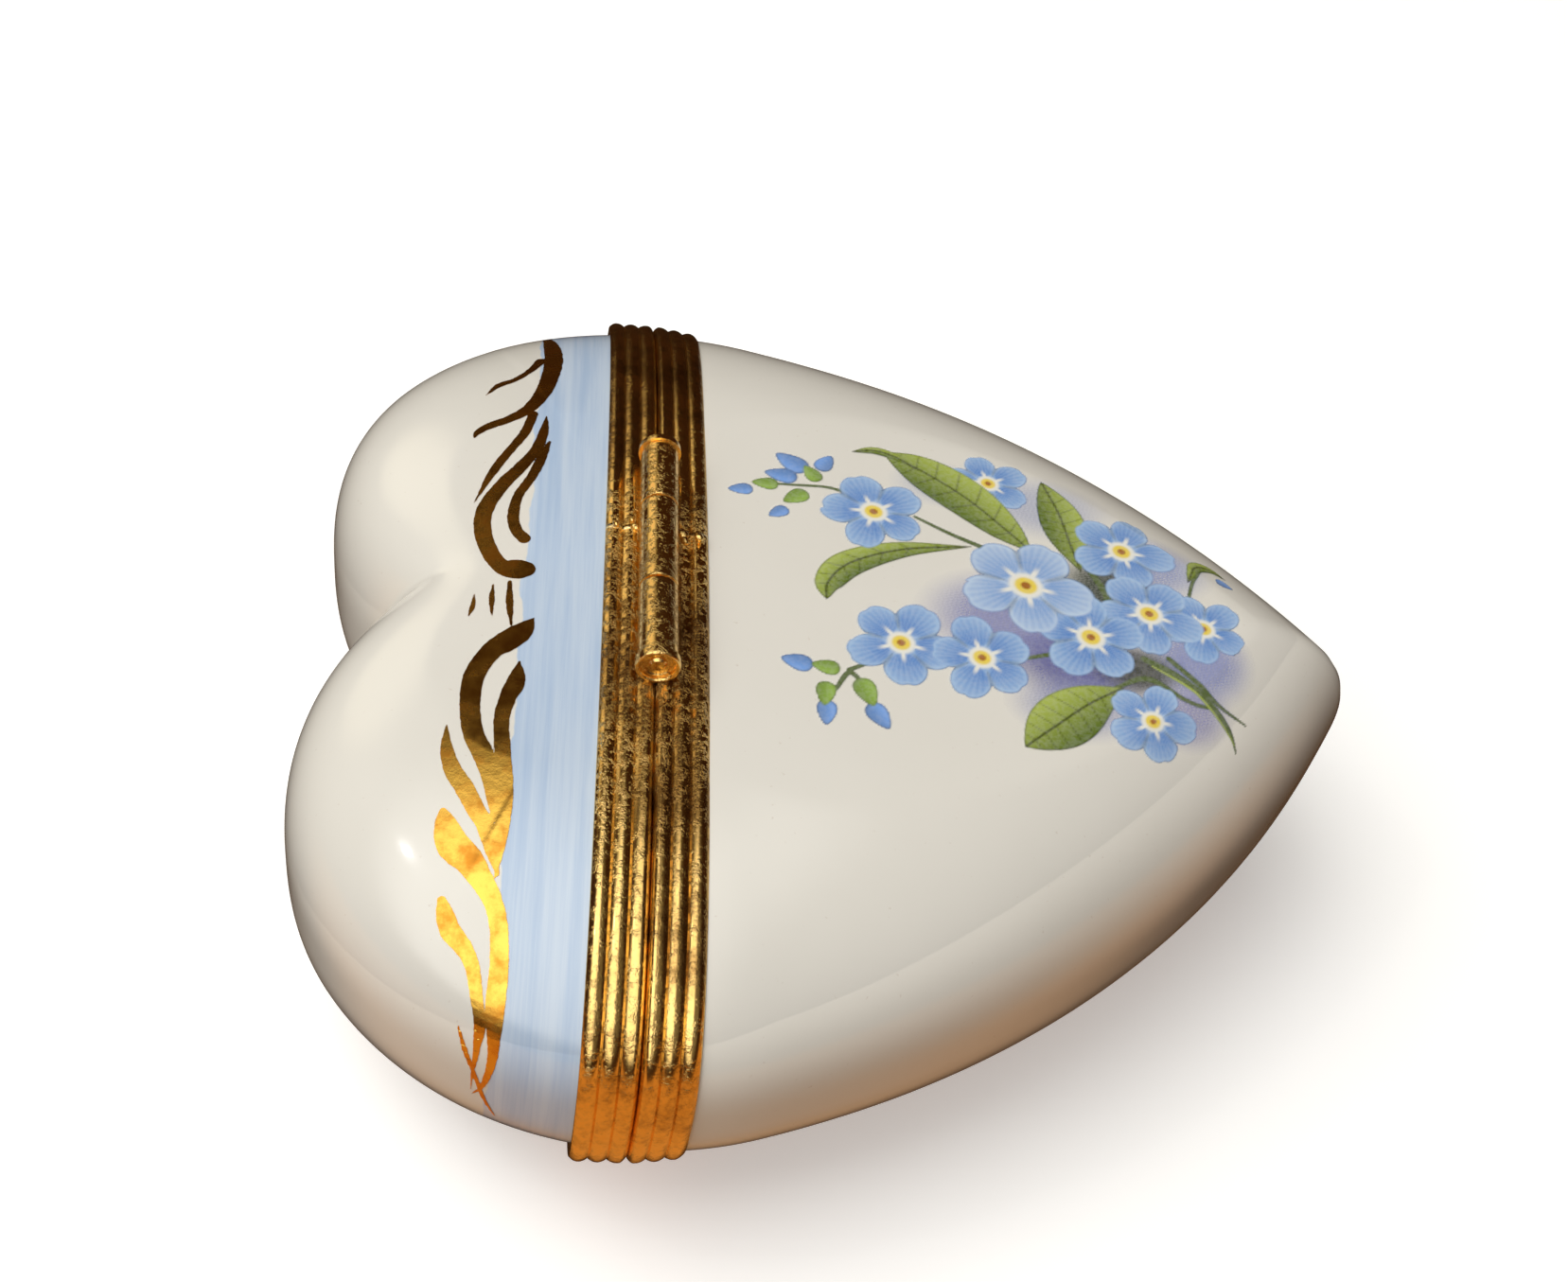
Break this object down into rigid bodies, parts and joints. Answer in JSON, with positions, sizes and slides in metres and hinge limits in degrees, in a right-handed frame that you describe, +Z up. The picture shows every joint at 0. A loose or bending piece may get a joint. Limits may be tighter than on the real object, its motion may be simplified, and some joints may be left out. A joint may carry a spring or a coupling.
{
  "type": "hinged trinket box",
  "caption": "Heart-shaped porcelain trinket box with a reeded brass rim, a barrel hinge across its broad face and a clasp under the seam.",
  "frame": {"origin": "centre of the bounding box's bottom face, where the clasp rests on a table", "axes": "+X from the lobes towards the heart's tip, +Z up with the hinge on top, +Y along the hinge"},
  "size_m": [0.0625, 0.0596, 0.0253],
  "materials": {
    "porcelain": "gloss",
    "brass": "polished",
    "brass_hinge": "polished"
  },
  "bodies": {
    "base": {"point_shell": "porcelain", "point_rim": "brass", "knuckle_near": "brass_hinge", "knuckle_far": "brass_hinge", "hinge_pin": "brass_hinge", "ring_near": "brass_hinge", "ring_far": "brass_hinge", "clasp_bead": "brass"},
    "lid": {"lobe_shell": "porcelain", "lobe_rim": "brass", "knuckle_middle": "brass_hinge", "clasp_plaque": "brass", "clasp_post": "brass"}
  },
  "joints": [
    {"name": "lid_hinge", "type": "hinge", "parent": "base", "child": "lid", "pos_m": [-0.01206, 0, 0.02401], "axis": [0, 1, 0], "range_deg": [0, 140]}
  ]
}
